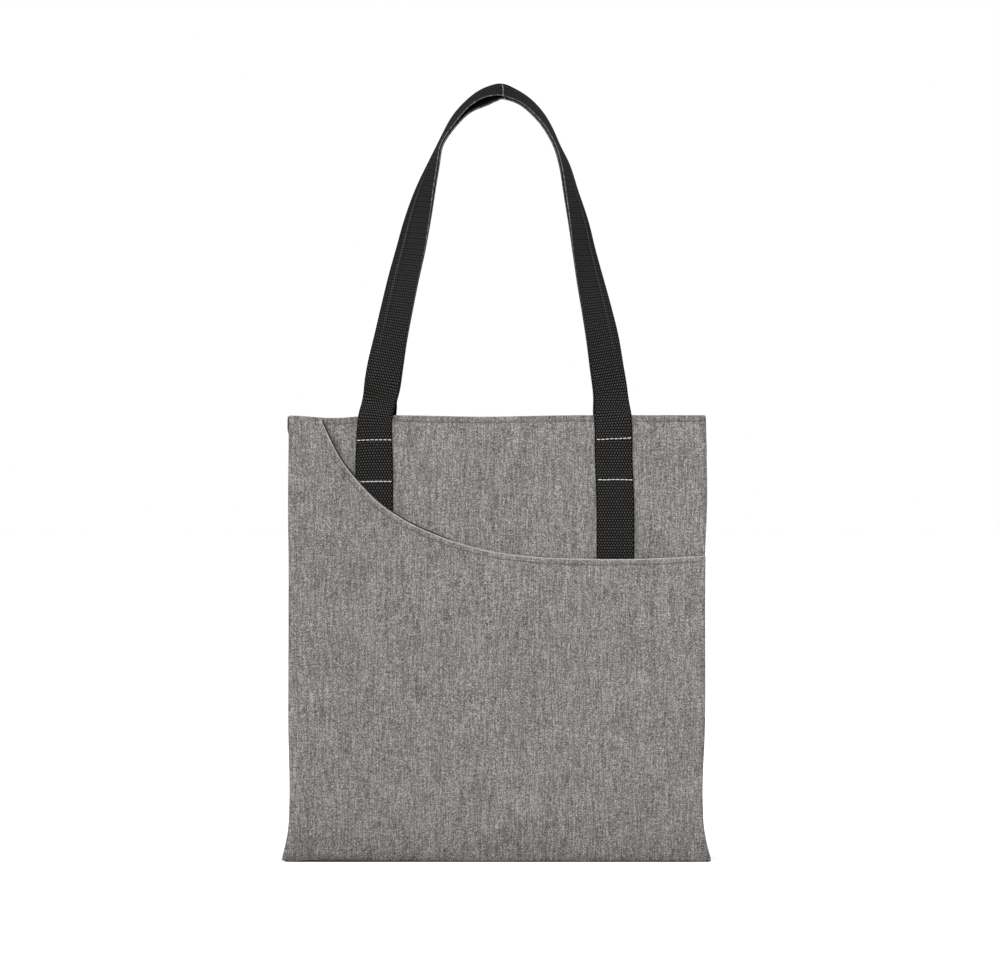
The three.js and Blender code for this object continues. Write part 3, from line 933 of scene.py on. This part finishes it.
def make_strap(side):
    """One continuous strap: up its left leg, over the handle and down its right leg."""
    centres, across = handle_centres(side)
    ribs = 12
    a = np.linspace(-1, 1, ribs * 4 + 1)
    rise = centres[:, 2] - HEIGHT
    reach = a[None] * cupped(rise, centres[:, 0])[:, None]
    middle = centres[:, None] + across[:, None] * reach[..., None]
    lift = WEB_LIFT + WEB_THICK / 2
    half_way = len(rise) // 2
    legs = {}
    for hand, sign, end in (("left", 1, 0), ("right", -1, -1)):
        leg = LEG_X[side][hand]
        top_x = centres[end, 0]
        v = np.arange(LEG_FOOT[side], WALL - 0.021, 0.004)
        u = leg + (top_x - leg) * smooth((v - 0.30) / 0.055)
        leg_reach = sign * a[None] * cupped(v - WALL, u)[:, None]
        legs[hand] = on_wall(side, u[:, None] + leg_reach, v[:, None], lift)
        part = slice(0, half_way) if end == 0 else slice(half_way, None)
        v_here = np.minimum(centres[part, 2], HEIGHT) / math.cos(LEAN)
        flat_u = centres[part, :1] + sign * reach[part]
        flat = on_wall(side, flat_u, v_here[:, None], lift)
        keep = smooth((rise[part] + 0.019) / 0.012)[:, None, None]
        middle[part] = flat * (1 - keep) + middle[part] * keep
    middle = np.concatenate([legs["left"], middle[1:-1], legs["right"][::-1]])
    spine = middle[:, len(a) // 2]
    length = arc_length(spine)
    length -= length[np.argmax(spine[:, 2])]
    edge = np.sqrt(np.clip(1 - np.clip((abs(a) - 0.955) / 0.045, 0, 1) ** 2, 0.05, 1))
    half = (WEB_THICK / 2 + 0.0001 * np.cos(a * ribs * math.pi)) * edge
    uv = np.stack(np.meshgrid(a * WEB_WIDTH / 2, length, indexing="xy"), -1)
    name = END[side]
    piece = shell_piece(f"{name}_webbing", middle, 2 * half[None, :], uv)
    dress(piece, WEBBING)
    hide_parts(f"{name}_left_strap_leg", f"{name}_right_strap_leg", f"{name}_handle_strap")
    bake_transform(piece)


# ---- Threads ----
def stitch_row(name, side, places, length, radius, sink, material, node):
    """Stitches along a line on a wall: each dips into the cloth at both ends. places are the
    middles of the stitches, and length is each one's own length along the line."""
    around, along = 8, 9
    normals = np.tile([0, side * math.cos(LEAN), math.sin(LEAN)], (len(places), 1))
    direction = unit(np.gradient(places, axis=0))
    sideways = unit(np.cross(direction, normals))
    share = np.linspace(-1, 1, along)
    arch = np.sqrt(np.clip(1 - share**4, 0, 1))
    swell = np.clip(np.sqrt(np.clip(1 - abs(share) ** 3, 0, 1)), 0.35, 1)
    angle = np.arange(around) * 2 * math.pi / around
    points, faces, uvs = [], [], []
    for k in range(len(places)):
        spine = (places[k] + direction[k] * (share * length / 2)[:, None]
                 + normals[k] * (arch * radius * 0.9 - sink)[:, None])
        ring = (np.cos(angle)[None, :, None] * sideways[k]
                + np.sin(angle)[None, :, None] * normals[k])
        tube = spine[:, None] + ring * (swell * radius)[:, None, None]
        start = len(points) * around * along + 2 * len(points)
        faces += (quads(along, around, closed=True) + start).tolist()
        caps = start + around * along
        last = start + around * (along - 1)
        faces += [[caps, start + (j + 1) % around, start + j] for j in range(around)]
        faces += [[caps + 1, last + j, last + (j + 1) % around] for j in range(around)]
        tip = direction[k] * radius * 0.3
        ends = np.stack([spine[0] - tip, spine[-1] + tip])
        points.append(np.concatenate([tube.reshape(-1, 3), ends]))
        s, q = np.meshgrid(share * length / 2 + k * length, angle / (2 * math.pi), indexing="ij")
        uvs.append(np.concatenate([np.stack([q.ravel(), s.ravel()], -1), [[0, k * length]] * 2]))
    piece = new_mesh(name, np.concatenate(points), faces, np.concatenate(uvs))
    face_outwards(piece)
    dress(piece, material)
    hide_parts(node)
    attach(piece, BODY[side])


# Each tack row is sewn slightly off its place: across and up.
TACK_SHIFT = {
    ("left", "upper"): (0.0, 0.0), ("left", "lower"): (0.0, -0.0010),
    ("right", "upper"): (-0.0013, 0.0006), ("right", "lower"): (0.0, 0.0004),
}


def make_tacks(side):
    rng = np.random.default_rng(11 + side)
    for hand in ("left", "right"):
        for level in ("upper", "lower"):
            node = f"{END[side]}_{hand}_{level}_tack"
            low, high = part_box(node)
            count = 8
            shift, raised = TACK_SHIFT[hand, level]
            u = np.linspace(low.x + 0.0019, high.x - 0.0019, count) + shift
            v = (low.z + high.z) / 2 / math.cos(LEAN) + raised + rng.normal(0, 0.00008, count)
            tilt = 0.0006 if hand == "right" else -0.0003
            v = v + tilt * np.linspace(-1, 1, count) * (level == "upper")
            places = on_wall(side, u, v, WEB_LIFT + WEB_THICK)
            share = 0.84 if level == "upper" else 0.96
            length = share * (u[1] - u[0])
            stitch_row(f"{node}_thread", side, places, length, THREAD, 0.0002,
                       WHITE, node)


def top_stitch(name, side, places, node):
    stitch_row(name, side, places, TOP_STITCH * 0.8, TOP_THREAD, 0.00012, GREY, node)


def make_hem_stitch(side):
    reach = HALF_WIDTH - SEAM_RADIUS - 0.001
    u = np.arange(-reach, reach, TOP_STITCH)
    places = on_wall(side, u, np.full(len(u), WALL - HEM_STITCH), -0.0002)
    top_stitch(f"{END[side]}_hem_thread", side, places, f"{END[side]}_hem_stitch")


def make_pocket_stitch():
    fine = np.linspace(SWOOP[0][0] + 0.002, HALF_WIDTH - 0.003, 900)
    edge = np.stack([fine, swoop_height(fine)], -1)
    tangent = unit(np.gradient(edge, axis=0))
    line = edge - np.stack([-tangent[:, 1], tangent[:, 0]], -1) * POCKET_STITCH
    length = arc_length(line)
    at = np.arange(TOP_STITCH, length[-1], TOP_STITCH)
    u, v = np.interp(at, length, line[:, 0]), np.interp(at, length, line[:, 1])
    keep = v < WALL - 0.006
    u, v = u[keep], v[keep]
    places = on_wall(-1, u, v, pocket_lift(u, v, np.full(len(u), POCKET_STITCH)) - 0.0002)
    top_stitch("pocket_thread", -1, places, "pocket_edge_stitch")


# ---- Bindings ----
def tape_piece(name, side, middle, thickness, across, along, *nodes):
    """A strip of black tape around a grid of points, in place of the CAD nodes, if any."""
    uv = np.stack(np.broadcast_arrays(across, along), -1)
    piece = shell_piece(name, middle, thickness, uv)
    dress(piece, TAPE)
    if nodes:
        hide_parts(*nodes)
    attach(piece, BODY[side])


def make_bindings(side):
    """Black tape over the raw seam edges inside. It peeks out at the top of each side seam and
    all along under the wall."""
    name = END[side]
    inside = -CLOTH - 0.0006
    for hand, label in ((-1, "left"), (1, "right")):
        v = np.linspace(0.004, WALL - 0.0006, 110)
        reach, showing = (0.017, 0.0013) if (side, hand) == (-1, -1) else (0.038, 0.0005)
        peek = showing * smooth((v - WALL + reach) / 0.005)
        width = half_width(v * math.cos(LEAN))
        q = np.linspace(0, 1, 9)
        u = (width - 0.009)[:, None] + (0.0085 + peek)[:, None] * q[None]
        w = inside - (SEAM_RADIUS + inside) * smooth((q - 0.6) / 0.4)[None] * np.ones((len(v), 1))
        middle = on_wall(side, hand * u, v[:, None] * np.ones_like(u), w - 0.0004)
        tape_piece(f"{name}_{label}_tape", side, middle, TAPE_THICK, q[None] * 0.008, v[:, None],
                   f"{name}_{label}_binding")
    u = np.linspace(-1, 1, 120)
    q = np.linspace(0, 1, 14)
    out = np.interp(q, [0, 0.45, 1], [inside - 0.0006, inside - 0.0004, -SEAM_RADIUS * 0.35])
    up = np.interp(q, [0, 0.45, 0.62, 1], [0.0110, 0.0042, 0.0012, 0.0007])
    ends = smooth((0.985 - abs(u)) / 0.02)[:, None]
    vv = np.broadcast_to(up[None], (len(u), len(q)))
    uu = u[:, None] * (half_width(0) - 0.010) + 0 * vv
    ww = out[None] * ends + (inside - 0.0006) * (1 - ends)
    middle = on_wall(side, uu, vv, ww)
    tape_piece(f"{name}_bottom_tape", side, middle, 0.0008, q[None] * 0.012, uu,
               f"{name}_bottom_binding")


# ---- Set, lights and camera ----
def make_set():
    """A pale floor under a white sky."""
    bpy.ops.mesh.primitive_plane_add(size=60)
    floor = bpy.context.object
    floor.name = "floor"
    n = Nodes("pale_floor")
    tone = n.noise(n.add("ShaderNodeTexCoord").outputs["Object"], 3.0, 3.0)
    colour = n.ramp(tone, [(0.3, (0.85, 0.85, 0.85)), (0.7, (0.87, 0.87, 0.87))])
    floor.data.materials.append(n.finish(colour, 0.8))
    world = bpy.data.worlds.new("studio")
    world.use_nodes = True
    background = world.node_tree.nodes["Background"]
    background.inputs["Color"].default_value = (1, 1, 1, 1)
    background.inputs["Strength"].default_value = 1.0
    bpy.context.scene.world = world
    bpy.context.scene.view_settings.view_transform = "Standard"


def add_light(name, kind, place, target, power):
    """A light of a kind that shines from a place at a target."""
    lamp = bpy.data.lights.new(name, kind)
    lamp.energy = power
    holder = bpy.data.objects.new(name, lamp)
    holder.location = place
    aim = Vector(target) - Vector(place)
    holder.rotation_euler = aim.to_track_quat("-Z", "Y").to_euler()
    bpy.context.scene.collection.objects.link(holder)
    return lamp


def make_lights():
    """Two very soft distant lights and a soft box that favours the top of the bag."""
    middle = (0, 0, 0)
    add_light("key", "SUN", (-1.9, -2.0, 1.4), middle, 2.75).angle = math.radians(11)
    add_light("fill", "SUN", (2.0, -1.4, 1.2), middle, 0.5).angle = math.radians(60)
    add_light("glow", "AREA", (0.24, -0.65, 1.0), (0.05, 0, 0.42), 9.5).size = 0.8


def make_camera():
    """Straight on to the front, level, with a long lens."""
    distance, view_width = 5.0, 0.8507
    data = bpy.data.cameras.new("camera")
    data.sensor_width = 36
    data.lens = 36 * distance / view_width
    data.clip_end = 60
    camera = bpy.data.objects.new("camera", data)
    camera.location = (0.0026, -distance - 0.03, 0.3267)
    camera.rotation_euler = (math.pi / 2, 0, 0)
    bpy.context.scene.collection.objects.link(camera)
    bpy.context.scene.camera = camera


make_set()
make_camera()
make_lights()

make_base()
for side in (-1, 1):
    make_wall(side)
    make_strap(side)
    make_tacks(side)
    make_hem_stitch(side)
    make_bindings(side)
for hand in (-1, 1):
    make_gusset(hand)
make_pocket()
make_pocket_shadow_strip()
make_pocket_stitch()
